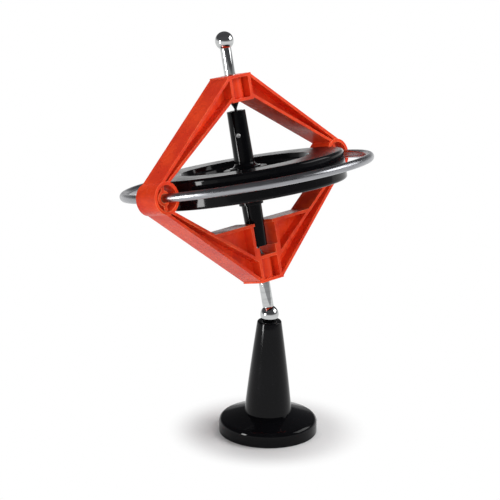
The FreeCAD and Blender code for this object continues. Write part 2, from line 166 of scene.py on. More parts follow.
class GyroscopeSizes(bpy.types.PropertyGroup):
    """Sizes of the finish that the construction leaves open."""

    turned_segments: bpy.props.IntProperty(
        name="Segments round", description="Faces round each turned piece", default=128, min=24)
    round_segments: bpy.props.IntProperty(
        name="Segments of a round", description="Faces across each rounded edge", default=4, min=1)
    moulded_round: bpy.props.FloatProperty(
        name="Moulded edge", description="Rounding of the orange moulding's edges",
        default=0.28 * MM, unit="LENGTH", precision=5)
    base_round: bpy.props.FloatProperty(
        name="Base edge", description="Rounding of the base's upper edge",
        default=1.2 * MM, unit="LENGTH", precision=5)
    base_edge_height: bpy.props.FloatProperty(
        name="Base edge height", description="Height of the base at its edge",
        default=4.65 * MM, unit="LENGTH", precision=5)
    column_top_radius: bpy.props.FloatProperty(
        name="Column top", description="Radius of the column at the rim of its cup",
        default=3.9 * MM, unit="LENGTH", precision=5)
    column_belly: bpy.props.FloatProperty(
        name="Column belly", description="How far the middle of the column's side stands out",
        default=0.15 * MM, unit="LENGTH", precision=5)
    column_rim_round: bpy.props.FloatProperty(
        name="Cup rim", description="Rounding of the rim of the column's cup",
        default=0.45 * MM, unit="LENGTH", precision=5)
    rim_round: bpy.props.FloatProperty(
        name="Rotor edge", description="Rounding of the rotor's outer edges",
        default=0.9 * MM, unit="LENGTH", precision=5)
    step_round: bpy.props.FloatProperty(
        name="Rotor steps", description="Rounding of the rotor's inner steps",
        default=0.22 * MM, unit="LENGTH", precision=5)
    rim_width: bpy.props.FloatProperty(
        name="Rim width", description="Width of the flat face of the rotor's rim",
        default=11.2 * MM, unit="LENGTH", precision=5)
    step_width: bpy.props.FloatProperty(
        name="Step width", description="Width of the step inside the rim",
        default=2.6 * MM, unit="LENGTH", precision=5)
    step_drop: bpy.props.FloatProperty(
        name="Step drop", description="Depth of the step below the rim's face",
        default=1.6 * MM, unit="LENGTH", precision=5)
    web_half: bpy.props.FloatProperty(
        name="Web half thickness", description="Half of the rotor's web",
        default=1.3 * MM, unit="LENGTH", precision=5)
    boss_radius: bpy.props.FloatProperty(
        name="Rotor hub", description="Radius of the rotor's hub",
        default=7.0 * MM, unit="LENGTH", precision=5)
    boss_drop: bpy.props.FloatProperty(
        name="Hub drop", description="Depth of the rotor's hub below the rim's face",
        default=1.2 * MM, unit="LENGTH", precision=5)
    draft: bpy.props.FloatProperty(
        name="Draft", description="Slope of the rotor's step walls",
        default=0.5 * MM, unit="LENGTH", precision=5)
    shaft_radius: bpy.props.FloatProperty(
        name="Shaft radius", description="Radius of the rotor's shaft at the rotor",
        default=3.25 * MM, unit="LENGTH", precision=5)
    shaft_end_radius: bpy.props.FloatProperty(
        name="Shaft end radius", description="Radius of the rotor's shaft at its ends",
        default=3.0 * MM, unit="LENGTH", precision=5)
    string_hole_radius: bpy.props.FloatProperty(
        name="String hole", description="Radius of the hole for the pull string",
        default=0.7 * MM, unit="LENGTH", precision=5)
    turned_chamfer: bpy.props.FloatProperty(
        name="Turned edge", description="Rounding of small turned edges",
        default=0.12 * MM, unit="LENGTH", precision=5)


class GyroscopeColours(bpy.types.PropertyGroup):
    """Base colours of the finishes."""

    orange: bpy.props.FloatVectorProperty(
        name="Orange plastic", description="Colour of the moulded frame",
        subtype="COLOR", size=3, default=(0.83, 0.062, 0.014), min=0, max=1)
    orange_deep: bpy.props.FloatVectorProperty(
        name="Orange plastic, deep", description="Darker flow marks of the moulded frame",
        subtype="COLOR", size=3, default=(0.68, 0.036, 0.011), min=0, max=1)
    # Painted highlight: a lighter orange for the outer rounded edges of the moulding, standing in for
    # light caught on them.
    orange_edge_highlight: bpy.props.FloatVectorProperty(
        name="Orange plastic, edges", description="Lighter orange of the moulding's thin outer edges",
        subtype="COLOR", size=3, default=(1.0, 0.240, 0.100), min=0, max=1)
    black: bpy.props.FloatVectorProperty(
        name="Black plastic", description="Colour of the rotor and the stand",
        subtype="COLOR", size=3, default=(0.0022, 0.0022, 0.0028), min=0, max=1)
    chrome: bpy.props.FloatVectorProperty(
        name="Chrome", description="Colour of the balls and rods",
        subtype="COLOR", size=3, default=(0.56, 0.57, 0.57), min=0, max=1)
    steel: bpy.props.FloatVectorProperty(
        name="Drawn steel", description="Colour of the ring's wire",
        subtype="COLOR", size=3, default=(0.36, 0.365, 0.385), min=0, max=1)
    dark_steel: bpy.props.FloatVectorProperty(
        name="Dark steel", description="Colour of the pivot points",
        subtype="COLOR", size=3, default=(0.12, 0.12, 0.125), min=0, max=1)
    zinc: bpy.props.FloatVectorProperty(
        name="Zinc", description="Colour of the weight ring",
        subtype="COLOR", size=3, default=(0.42, 0.43, 0.44), min=0, max=1)
    brass: bpy.props.FloatVectorProperty(
        name="Brass", description="Colour of the bearing cups",
        subtype="COLOR", size=3, default=(0.62, 0.42, 0.17), min=0, max=1)
    floor: bpy.props.FloatVectorProperty(
        name="Floor", description="Colour of the floor",
        subtype="COLOR", size=3, default=(0.70, 0.70, 0.70), min=0, max=1)
    walls: bpy.props.FloatVectorProperty(
        name="Walls", description="Colour of the studio about the horizon",
        subtype="COLOR", size=3, default=(0.42, 0.42, 0.425), min=0, max=1)
    ceiling: bpy.props.FloatVectorProperty(
        name="Ceiling", description="Colour of the studio above its walls",
        subtype="COLOR", size=3, default=(0.10, 0.10, 0.105), min=0, max=1)


class GyroscopeStage(bpy.types.PropertyGroup):
    """Camera and lights."""

    camera_target: bpy.props.FloatVectorProperty(
        name="Target", description="Point that the camera looks at",
        subtype="TRANSLATION", size=3, unit="LENGTH",
        default=(-4.655 * MM, 4.645 * MM, 62.017 * MM))
    camera_azimuth: bpy.props.FloatProperty(
        name="Azimuth", description="Side that the camera looks from, round the stand",
        default=math.radians(-44.945), subtype="ANGLE")
    camera_elevation: bpy.props.FloatProperty(
        name="Elevation", description="Height of the camera above the horizon",
        default=math.radians(17.372), subtype="ANGLE")
    camera_roll: bpy.props.FloatProperty(
        name="Roll", description="Turn of the camera about its view",
        default=math.radians(0.716), subtype="ANGLE")
    camera_distance: bpy.props.FloatProperty(
        name="Distance", description="Distance of the camera from its target",
        default=681.8 * MM, unit="LENGTH")
    camera_lens: bpy.props.FloatProperty(
        name="Lens", description="Focal length in millimetres on a 36 mm sensor", default=152.86)
    light_level: bpy.props.FloatProperty(
        name="Light level", description="Factor on every lamp", default=1.0, min=0)


def towards(around, above):
    """Direction to a place round the object and above its horizon."""
    return Vector((
        math.sin(around) * math.cos(above), -math.cos(around) * math.cos(above), math.sin(above)))


def sizes():
    return bpy.context.scene.gyroscope_sizes


def colours():
    return bpy.context.scene.gyroscope_colours


def stage():
    return bpy.context.scene.gyroscope_stage


# ---- mesh helpers -------------------------------------------------------------------------------
SHARP_ANGLE = math.radians(32)
EDGE_HIGHLIGHT_MATERIAL = 1               # slot of the painted highlight, a lighter orange on the outer rounded edges of an orange piece
FACE_MATERIAL = 1               # slot of the softer gloss on the rotor's flat faces
FACE_SLOPE = 0.9                # a face this square to the axis is flat
MERGE = 0.002 * MM
FLAT_ANGLE = math.radians(1)    # faces that meet at less than this become one
MOULDED_SEGMENTS = 3            # faces across a rounded edge of the moulding
SIDE_STEPS = 12                 # straight parts in the outline of the column's side
SEAT_STEPS = 10                 # and in that of its cup
WIRE_SEGMENTS = 32
DRILL_SEGMENTS = 32


def turned(corners, segments=None):
    """Bmesh of a solid turned about Z, from (radius, height, round) corners of its outline."""
    bm = bmesh.new()
    vertices = [bm.verts.new((radius, 0, height)) for radius, height, _ in corners]
    for start, end in zip(vertices, vertices[1:]):
        bm.edges.new((start, end))
    rounds = {}
    for vertex, (_, _, size) in zip(vertices, corners):
        if size > 0:
            rounds.setdefault(size, []).append(vertex)
    for size, corner_vertices in rounds.items():
        bmesh.ops.bevel(
            bm, geom=corner_vertices, offset=size, offset_type="OFFSET",
            segments=sizes().round_segments, profile=0.5, affect="VERTICES", material=-1)
    bmesh.ops.spin(
        bm, geom=bm.verts[:] + bm.edges[:], cent=ORIGIN, axis=UP, angle=FULL_TURN,
        steps=segments or sizes().turned_segments, use_merge=True)
    bmesh.ops.remove_doubles(bm, verts=bm.verts[:], dist=MERGE)
    bmesh.ops.recalc_face_normals(bm, faces=bm.faces[:])
    return bm


def flipped(bm):
    """The same mesh for the lower end of the spin axis."""
    bmesh.ops.rotate(bm, cent=ORIGIN, matrix=Matrix.Rotation(math.pi, 3, "X"), verts=bm.verts[:])
    return bm


def upright(bm):
    """The mesh as it is, for the upper end."""
    return bm


ENDS = (("upper", upright), ("lower", flipped))


def mesh_object(name, bm, space=STAND):
    """Object at the origin whose mesh is the bmesh, put in its place."""
    bmesh.ops.transform(bm, matrix=space, verts=bm.verts[:])
    mesh = bpy.data.meshes.new(name)
    bm.to_mesh(mesh)
    bm.free()
    mesh.shade_smooth()
    mesh.set_sharp_from_angle(angle=SHARP_ANGLE)
    piece = bpy.data.objects.new(name, mesh)
    bpy.context.scene.collection.objects.link(piece)
    return piece


def faced(bm):
    """Give a turned mesh's flat faces, square to its axis, their own material slot."""
    bm.normal_update()
    for face in bm.faces:
        if abs(face.normal.z) > FACE_SLOPE:
            face.material_index = FACE_MATERIAL
    return bm


def even_shading(piece):
    """Keep flat faces flat in shading beside their rounded edges."""
    weighting = piece.modifiers.new("Even shading", "WEIGHTED_NORMAL")
    weighting.mode = "FACE_AREA"
    weighting.keep_sharp = True


def material(name):
    return bpy.data.materials[name]


def dress(piece, finishes, node):
    """Give a piece its finishes, by the slots of its faces, and let it stand for a node."""
    for name in finishes:
        piece.data.materials.append(material(name))
    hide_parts(node)
    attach(piece, frame["nodes"][node]["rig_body"])


# ---- shared effects of the materials ------------------------------------------------------------
PLASTIC_IOR = 1.46
DUST_COLOUR = (0.25, 0.25, 0.26)
# noise values between which a mask goes from none to all
CLOUD_MASK = (0.35, 0.68)
SPECK_MASK = (0.62, 0.74)
STREAK_MASK = (0.36, 0.64)
SMEAR_MASK = (0.42, 0.70)
SCRATCH_MASK = (0.66, 0.74)
DUST_MASK = (0.72, 0.78)


def new_group(name, inputs, outputs):
    """Empty shader node group with named sockets. Returns the tree and its two end nodes."""
    tree = bpy.data.node_groups.new(name, "ShaderNodeTree")
    for socket_name, socket_type, default in inputs:
        socket = tree.interface.new_socket(name=socket_name, in_out="INPUT", socket_type=socket_type)
        if default is not None:
            socket.default_value = default
    for socket_name, socket_type in outputs:
        tree.interface.new_socket(name=socket_name, in_out="OUTPUT", socket_type=socket_type)
    return tree, tree.nodes.new("NodeGroupInput"), tree.nodes.new("NodeGroupOutput")


def math_node(tree, operation, first, second=None):
    """Math node with its inputs linked or set. Returns its output."""
    node = tree.nodes.new("ShaderNodeMath")
    node.operation = operation
    for index, value in enumerate((first, second)):
        if value is None:
            continue
        if isinstance(value, (int, float)):
            node.inputs[index].default_value = value
        else:
            tree.links.new(value, node.inputs[index])
    return node.outputs[0]


def noise_node(tree, vector, scale, detail=3.0, roughness=0.5):
    """Noise texture on a vector. Returns its value output."""
    node = tree.nodes.new("ShaderNodeTexNoise")
    if isinstance(scale, (int, float)):
        node.inputs["Scale"].default_value = scale
    else:
        tree.links.new(scale, node.inputs["Scale"])
    node.inputs["Detail"].default_value = detail
    node.inputs["Roughness"].default_value = roughness
    tree.links.new(vector, node.inputs["Vector"])
    return node.outputs[0]


def ramp_node(tree, value, low, high):
    """Value stretched from the range low-high to 0-1, clamped."""
    node = tree.nodes.new("ShaderNodeMapRange")
    node.interpolation_type = "SMOOTHSTEP"
    node.inputs["From Min"].default_value = low
    node.inputs["From Max"].default_value = high
    tree.links.new(value, node.inputs["Value"])
    return node.outputs["Result"]


def moulded_grain_group():
    """Fine spark-eroded grain, flow clouds and specks of a moulded face."""
    tree, given, result = new_group(
        "Moulded grain",
        [("Vector", "NodeSocketVector", None), ("Grain Scale", "NodeSocketFloat", 5200.0),
         ("Cloud Scale", "NodeSocketFloat", 140.0)],
        [("Height", "NodeSocketFloat"), ("Clouds", "NodeSocketFloat"), ("Specks", "NodeSocketFloat")])
    vector = given.outputs["Vector"]
    grain = noise_node(tree, vector, given.outputs["Grain Scale"], detail=2.0, roughness=0.6)
    clouds = noise_node(tree, vector, given.outputs["Cloud Scale"], detail=4.0, roughness=0.55)
    specks = noise_node(tree, vector, math_node(tree, "MULTIPLY", given.outputs["Grain Scale"], 0.45))
    tree.links.new(grain, result.inputs["Height"])
    tree.links.new(ramp_node(tree, clouds, *CLOUD_MASK), result.inputs["Clouds"])
    tree.links.new(ramp_node(tree, specks, *SPECK_MASK), result.inputs["Specks"])
    return tree


def turned_lines_group():
    """Fine rings left by a lathe, or drawing lines along a wire bent round the axis."""
    tree, given, result = new_group(
        "Turned lines",
        [("Vector", "NodeSocketVector", None), ("Line Scale", "NodeSocketFloat", 4000.0),
         ("Run", "NodeSocketFloat", 1.2)],
        [("Height", "NodeSocketFloat"), ("Streaks", "NodeSocketFloat")])
    parts = tree.nodes.new("ShaderNodeSeparateXYZ")
    tree.links.new(given.outputs["Vector"], parts.inputs[0])
    x, y, z = parts.outputs
    square = math_node(tree, "ADD", math_node(tree, "MULTIPLY", x, x), math_node(tree, "MULTIPLY", y, y))
    radius = math_node(tree, "SQRT", square)
    turn = math_node(tree, "ARCTAN2", y, x)
    lines = tree.nodes.new("ShaderNodeCombineXYZ")
    scale = given.outputs["Line Scale"]
    tree.links.new(math_node(tree, "MULTIPLY", radius, scale), lines.inputs[0])
    tree.links.new(math_node(tree, "MULTIPLY", z, scale), lines.inputs[1])
    tree.links.new(math_node(tree, "MULTIPLY", turn, given.outputs["Run"]), lines.inputs[2])
    fine = noise_node(tree, lines.outputs[0], 1.0, detail=3.0, roughness=0.65)
    broad = noise_node(tree, lines.outputs[0], 0.22, detail=2.0)
    tree.links.new(fine, result.inputs["Height"])
    tree.links.new(ramp_node(tree, broad, *STREAK_MASK), result.inputs["Streaks"])
    return tree


def handling_group():
    """Faint smears, hairline scratches and dust from handling."""
    tree, given, result = new_group(
        "Handling marks",
        [("Vector", "NodeSocketVector", None)],
        [("Smears", "NodeSocketFloat"), ("Scratches", "NodeSocketFloat"), ("Dust", "NodeSocketFloat")])
    vector = given.outputs["Vector"]
    smears = noise_node(tree, vector, 95.0, detail=3.0, roughness=0.6)
    stretch = tree.nodes.new("ShaderNodeMapping")
    stretch.inputs["Rotation"].default_value = (0.4, 0.9, 0.3)
    stretch.inputs["Scale"].default_value = (2600.0, 150.0, 1500.0)
    tree.links.new(vector, stretch.inputs["Vector"])
    scratches = noise_node(tree, stretch.outputs[0], 1.0, detail=2.0)
    dust = noise_node(tree, vector, 3800.0, detail=1.0)
    tree.links.new(ramp_node(tree, smears, *SMEAR_MASK), result.inputs["Smears"])
    tree.links.new(ramp_node(tree, scratches, *SCRATCH_MASK), result.inputs["Scratches"])
    tree.links.new(ramp_node(tree, dust, *DUST_MASK), result.inputs["Dust"])
    return tree


class Finish:
    """A material under construction: its tree, its shader and its own coordinates."""

    def __init__(self, name, space):
        self.material = bpy.data.materials.new(name)
        self.material.use_nodes = True
        self.tree = self.material.node_tree
        self.shader = self.tree.nodes["Principled BSDF"]
        coordinates = self.tree.nodes.new("ShaderNodeTexCoord")
        own_space = self.tree.nodes.new("ShaderNodeMapping")
        own_space.vector_type = "TEXTURE"
        own_space.inputs["Location"].default_value = space.to_translation()
        own_space.inputs["Rotation"].default_value = space.to_euler("XYZ")
        self.link(coordinates.outputs["Object"], own_space.inputs["Vector"])
        self.vector = own_space.outputs[0]

    def link(self, output, socket):
        self.tree.links.new(output, socket)

    def set(self, **values):
        """Set sockets of the shader, by name with underscores for spaces."""
        for name, value in values.items():
            self.shader.inputs[name.replace("_", " ")].default_value = value

    def group(self, name, **values):
        """Place a shared effect on the material's own coordinates."""
        node = self.tree.nodes.new("ShaderNodeGroup")
        node.node_tree = bpy.data.node_groups[name]
        self.link(self.vector, node.inputs["Vector"])
        for socket, value in values.items():
            node.inputs[socket.replace("_", " ")].default_value = value
        return node.outputs

    def mix(self, factor, first, second):
        """Colour between two colours. Either may be a link."""
        node = self.tree.nodes.new("ShaderNodeMix")
        node.data_type = "RGBA"
        self.link(factor, node.inputs["Factor"])
        for socket, value in ((node.inputs[6], first), (node.inputs[7], second)):
            if isinstance(value, bpy.types.NodeSocket):
                self.link(value, socket)
            else:
                socket.default_value = (*value, 1)
        return node.outputs[2]

    def level(self, factor, low, high):
        """Value between low and high by a mask."""
        node = self.tree.nodes.new("ShaderNodeMapRange")
        node.inputs["To Min"].default_value = low
        node.inputs["To Max"].default_value = high
        self.link(factor, node.inputs["Value"])
        return node.outputs["Result"]

    def bump(self, height, distance, strength=1.0, below=None):
        """Bump of a height mask. Returns the normal, for the next bump or the shader."""
        node = self.tree.nodes.new("ShaderNodeBump")
        node.inputs["Distance"].default_value = distance
        node.inputs["Strength"].default_value = strength
        self.link(height, node.inputs["Height"])
        if below is not None:
            self.link(below, node.inputs["Normal"])
        return node.outputs[0]


def shade(colour, factor):
    """A colour made lighter or darker."""
    return tuple(min(1.0, part * factor) for part in colour)


# ---- materials ----------------------------------------------------------------------------------
def orange_plastic(name, colour, deep):
    """Orange moulding with a fine eroded grain, and flow clouds in the deep colour."""
    finish = Finish(name, GYRO)
    grain = finish.group("Moulded grain")
    marks = finish.group("Handling marks")
    body = finish.mix(grain["Clouds"], tuple(colour), tuple(deep))
    body = finish.mix(finish.level(grain["Specks"], 0.0, 0.18), body, shade(colour, 1.25))
    finish.link(body, finish.shader.inputs["Base Color"])
    finish.link(finish.level(marks["Smears"], 0.25, 0.36), finish.shader.inputs["Roughness"])
    finish.set(IOR=PLASTIC_IOR, Specular_IOR_Level=0.20)
    normal = finish.bump(grain["Height"], 0.014 * MM, 0.55)
    normal = finish.bump(marks["Scratches"], 0.006 * MM, 0.3, below=normal)
    finish.link(normal, finish.shader.inputs["Normal"])
    return finish.material


def black_plastic(name, space, gloss, reflection=0.15):
    """Black moulding with turned lines, faint smears and dust. Gloss is its lowest roughness."""
    finish = Finish(name, space)
    lines = finish.group("Turned lines", Line_Scale=2600.0, Run=0.8)
    marks = finish.group("Handling marks")
    body = finish.mix(finish.level(marks["Smears"], 0.0, 0.5), tuple(colours().black),
                      shade(colours().black, 1.8))
    body = finish.mix(finish.level(marks["Dust"], 0.0, 0.10), body, DUST_COLOUR)
    finish.link(body, finish.shader.inputs["Base Color"])
    finish.link(finish.level(marks["Smears"], gloss, gloss + 0.07), finish.shader.inputs["Roughness"])
    finish.set(IOR=PLASTIC_IOR, Specular_IOR_Level=reflection)
    normal = finish.bump(lines["Height"], 0.0022 * MM, 0.35)
    normal = finish.bump(marks["Scratches"], 0.003 * MM, 0.25, below=normal)
    finish.link(normal, finish.shader.inputs["Normal"])
    return finish.material


def turned_metal(name, colour, roughness, line_height, line_scale=4000.0, run=1.2):
    """Metal with lathe or drawing lines about the spin axis."""
    finish = Finish(name, GYRO)
    lines = finish.group("Turned lines", Line_Scale=line_scale, Run=run)
    marks = finish.group("Handling marks")
    body = finish.mix(lines["Streaks"], tuple(colour), shade(colour, 0.86))
    finish.link(body, finish.shader.inputs["Base Color"])
    rough = finish.level(marks["Smears"], roughness, roughness * 1.5)
    finish.link(rough, finish.shader.inputs["Roughness"])
    finish.set(Metallic=1.0)
    normal = finish.bump(lines["Height"], line_height, 0.5)
    normal = finish.bump(marks["Scratches"], line_height, 0.3, below=normal)
    finish.link(normal, finish.shader.inputs["Normal"])
    return finish.material


def cast_zinc():
    """Dull cast metal of the weight ring."""
    finish = Finish("cast_zinc", GYRO)
    grain = finish.group("Moulded grain", Grain_Scale=2600.0, Cloud_Scale=220.0)
    body = finish.mix(grain["Clouds"], tuple(colours().zinc), shade(colours().zinc, 0.8))
    finish.link(body, finish.shader.inputs["Base Color"])
    finish.link(finish.level(grain["Clouds"], 0.45, 0.6), finish.shader.inputs["Roughness"])
    finish.set(Metallic=1.0)
    finish.link(finish.bump(grain["Height"], 0.02 * MM, 0.6), finish.shader.inputs["Normal"])
    return finish.material


# ---- operators ----------------------------------------------------------------------------------
class GYROSCOPE_OT_finishes(bpy.types.Operator):
    """Make the shared effects and the materials"""

    bl_idname = "gyroscope.finishes"
    bl_label = "Finishes"

    def execute(self, context):
        moulded_grain_group()
        turned_lines_group()
        handling_group()
        orange_plastic("orange_plastic", colours().orange, colours().orange_deep)
        # The second orange is a painted highlight for the moulding's outer rounded edges.
        orange_plastic("orange_edge_highlight", colours().orange_edge_highlight, colours().orange)
        black_plastic("rotor_black_plastic", GYRO, gloss=0.07)
        black_plastic("rotor_black_faces", GYRO, gloss=0.20, reflection=0.07)
        black_plastic("stand_black_plastic", STAND, gloss=0.07)
        turned_metal("polished_chrome", colours().chrome, roughness=0.045, line_height=0.0006 * MM)
        turned_metal("drawn_steel", colours().steel, roughness=0.27, line_height=0.0012 * MM,
                     line_scale=5200.0, run=0.5)
        turned_metal(
            "dark_ground_steel", colours().dark_steel, roughness=0.30, line_height=0.002 * MM)
        turned_metal("turned_brass", colours().brass, roughness=0.22, line_height=0.002 * MM)
        cast_zinc()
        return {"FINISHED"}


class GYROSCOPE_OT_stand(bpy.types.Operator):
    """Model the base and the column of the stand"""

    bl_idname = "gyroscope.stand"
    bl_label = "Stand"

    def execute(self, context):
        self.base()
        self.column()
        return {"FINISHED"}

    def base(self):
        size = sizes()
        bm = turned([
            (0, base_low, 0),
            (base_radius, base_low, 2 * size.turned_chamfer),
            (base_radius, size.base_edge_height, size.base_round),
            (foot_radius, base_high, 0),
            (0, base_high, 0),
        ])
        piece = mesh_object("base_moulding", bm)
        even_shading(piece)
        dress(piece, ["stand_black_plastic"], "stand_base")

    def column(self):
        corners = [
            (0, spigot_low, 0),
            (foot_radius * SPIGOT_SHARE, spigot_low, 0),
            (foot_radius * SPIGOT_SHARE, base_high, 0),
        ]
        corners += self.side()
        corners += self.seat()
        piece = mesh_object("column_moulding", turned(corners))
        even_shading(piece)
        dress(piece, ["stand_black_plastic"], "stand_column")

    def side(self):
        """Outline of the column's side, from the base to the rounded rim."""
        size = sizes()
        corners = []
        for step in range(SIDE_STEPS + 1):
            share = step / SIDE_STEPS
            radius = foot_radius + share * (size.column_top_radius - foot_radius)
            radius += 4 * size.column_belly * share * (1 - share)
            height = base_high + share * (rim_height - base_high)
            corners.append((radius, height, size.column_rim_round if step == SIDE_STEPS else 0))
        return corners

    def seat(self):
        """Outline of the cup under the ball, from its mouth to the axis."""
        ball_above_rim = lower_ball_height - rim_height
        seat_radius = ball_radius + SEAT_CLEARANCE
        half_angle = math.acos(ball_above_rim / seat_radius)
        corners = []
        for step in range(SEAT_STEPS + 1):
            angle = half_angle * (1 - step / SEAT_STEPS)
            corners.append((seat_radius * math.sin(angle),
                            lower_ball_height - seat_radius * math.cos(angle), 0))
        return corners


class GYROSCOPE_OT_balls_and_rods(bpy.types.Operator):
    """Model the two chrome balls and their rods"""

    bl_idname = "gyroscope.balls_and_rods"
    bl_label = "Balls and rods"

    def execute(self, context):
        for end, place in ENDS:
            ball = mesh_object(end + "_ball_polished", place(self.ball()), GYRO)
            dress(ball, ["polished_chrome"], end + "_ball")
            rod = mesh_object(end + "_rod_polished", place(self.rod()), GYRO)
            dress(rod, ["polished_chrome"], end + "_rod")
        return {"FINISHED"}

    def ball(self):
        """Ball about its own centre on the spin axis."""
        bm = bmesh.new()
        bmesh.ops.create_uvsphere(
            bm, u_segments=sizes().turned_segments, v_segments=sizes().turned_segments // 2,
            radius=ball_radius)
        bmesh.ops.translate(bm, vec=(0, 0, ball_centre), verts=bm.verts[:])
        return bm

    def rod(self):
        """Rod with a small neck under the ball."""
        size = sizes()
        neck = size.turned_chamfer
        neck_height = ball_centre - math.sqrt(ball_radius ** 2 - rod_radius ** 2)
        return turned([
            (0, rod_low, 0),
            (rod_radius, rod_low, neck),
            (rod_radius, neck_height - neck, neck / 2),
            (rod_radius - neck, neck_height, 0),
            (rod_radius - neck, neck_height + neck, 0),
            (0, neck_height + neck, 0),
        ])


class GYROSCOPE_OT_moulded_frame(bpy.types.Operator):
    """Round the edges of the frame's moulding and of the ring's two grips"""

    bl_idname = "gyroscope.moulded_frame"
    bl_label = "Moulded frame"

    def execute(self, context):
        for node, name in (("gyro_frame", "frame_moulding"),
                           ("left_ring_grip", "left_grip_moulding"),
                           ("right_ring_grip", "right_grip_moulding")):
            piece = mesh_object(name, self.rounded(node))
            even_shading(piece)
            dress(piece, ["orange_plastic", "orange_edge_highlight"], node)
        return {"FINISHED"}

    def rounded(self, node):
        """Merged copy of a node's mesh, its sharp edges rounded. Outer rounds get a lighter orange, a
        painted highlight.
        """
        bm = bmesh.new()
        bm.from_mesh(frame["nodes"][node].data)
        bmesh.ops.remove_doubles(bm, verts=bm.verts[:], dist=MERGE)
        bmesh.ops.dissolve_limit(
            bm, angle_limit=FLAT_ANGLE, verts=bm.verts[:], edges=bm.edges[:])
        edges = [edge for edge in bm.edges
                 if edge.is_manifold and edge.calc_face_angle(0) > SHARP_ANGLE]
        rounds = bmesh.ops.bevel(
            bm, geom=edges, offset=sizes().moulded_round, offset_type="OFFSET",
            segments=MOULDED_SEGMENTS, profile=0.5, affect="EDGES", clamp_overlap=True, material=-1)
        bm.normal_update()
        # Convex rounds take the lighter orange of the painted highlight.
        for face in rounds["faces"]:
            if sum(edge.calc_face_angle_signed(0) for edge in face.edges) > 0:
                face.material_index = EDGE_HIGHLIGHT_MATERIAL
        return bm


class GYROSCOPE_OT_ring(bpy.types.Operator):
    """Model the steel ring"""

    bl_idname = "gyroscope.ring"
    bl_label = "Ring"

    def execute(self, context):
        bm = bmesh.new()
        bmesh.ops.create_circle(bm, segments=WIRE_SEGMENTS, radius=wire_radius)
        bmesh.ops.rotate(bm, cent=ORIGIN, matrix=Matrix.Rotation(math.pi / 2, 3, "X"), verts=bm.verts[:])
        bmesh.ops.translate(bm, vec=(ring_radius, 0, ring_height), verts=bm.verts[:])
        bmesh.ops.spin(
            bm, geom=bm.verts[:] + bm.edges[:], cent=ORIGIN, axis=UP, angle=FULL_TURN,
            steps=2 * sizes().turned_segments, use_merge=True)
        bmesh.ops.recalc_face_normals(bm, faces=bm.faces[:])
        piece = mesh_object("ring_wire", bm, GYRO)
        dress(piece, ["drawn_steel"], "outer_ring")
        return {"FINISHED"}


